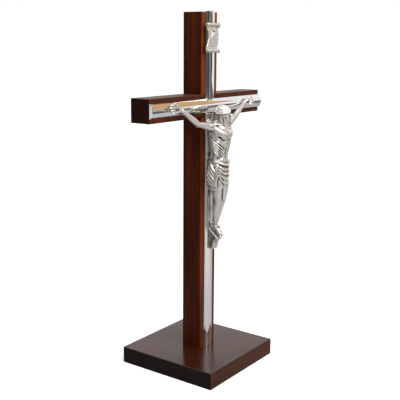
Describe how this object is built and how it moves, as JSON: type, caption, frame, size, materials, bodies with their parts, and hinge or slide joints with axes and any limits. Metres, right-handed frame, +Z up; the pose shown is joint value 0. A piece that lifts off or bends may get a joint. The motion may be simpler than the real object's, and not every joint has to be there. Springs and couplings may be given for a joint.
{
  "type": "standing cross",
  "caption": "Standing wooden crucifix: a cross on a square base, faced with half-round polished strips, with a cast figure, foot rest, nails and a bare scroll.",
  "frame": {"origin": "centre of the underside of the base, on the surface that the cross stands on", "axes": "+Z up the post, +X along the crossbar to the viewer's right, the figure faces -Y"},
  "size_m": [0.1336, 0.082, 0.2621],
  "materials": {
    "stained_wood": "dark mahogany stain under a semi-gloss lacquer",
    "polished_strip": "mirror-bright half-round metal profile",
    "old_silver": "cast metal, silvered and oxidised in the hollows, rubbed bright on the high places",
    "nail_metal": "darkened round-headed nail",
    "zinced_steel": "plain zinc-plated screw"
  },
  "bodies": {
    "root": {"base": "stained_wood", "upright": "stained_wood", "crossbar": "stained_wood", "crossbar_strip": "polished_strip", "upper_strip": "polished_strip", "lower_strip": "polished_strip", "scroll": "old_silver", "scroll_pin": "old_silver", "corpus": "old_silver", "foot_rest": "old_silver", "right_hand_nail": "nail_metal", "left_hand_nail": "nail_metal", "foot_nail": "nail_metal", "rest_pin": "old_silver", "left_base_screw": "zinced_steel", "right_base_screw": "zinced_steel"}
  },
  "joints": []
}
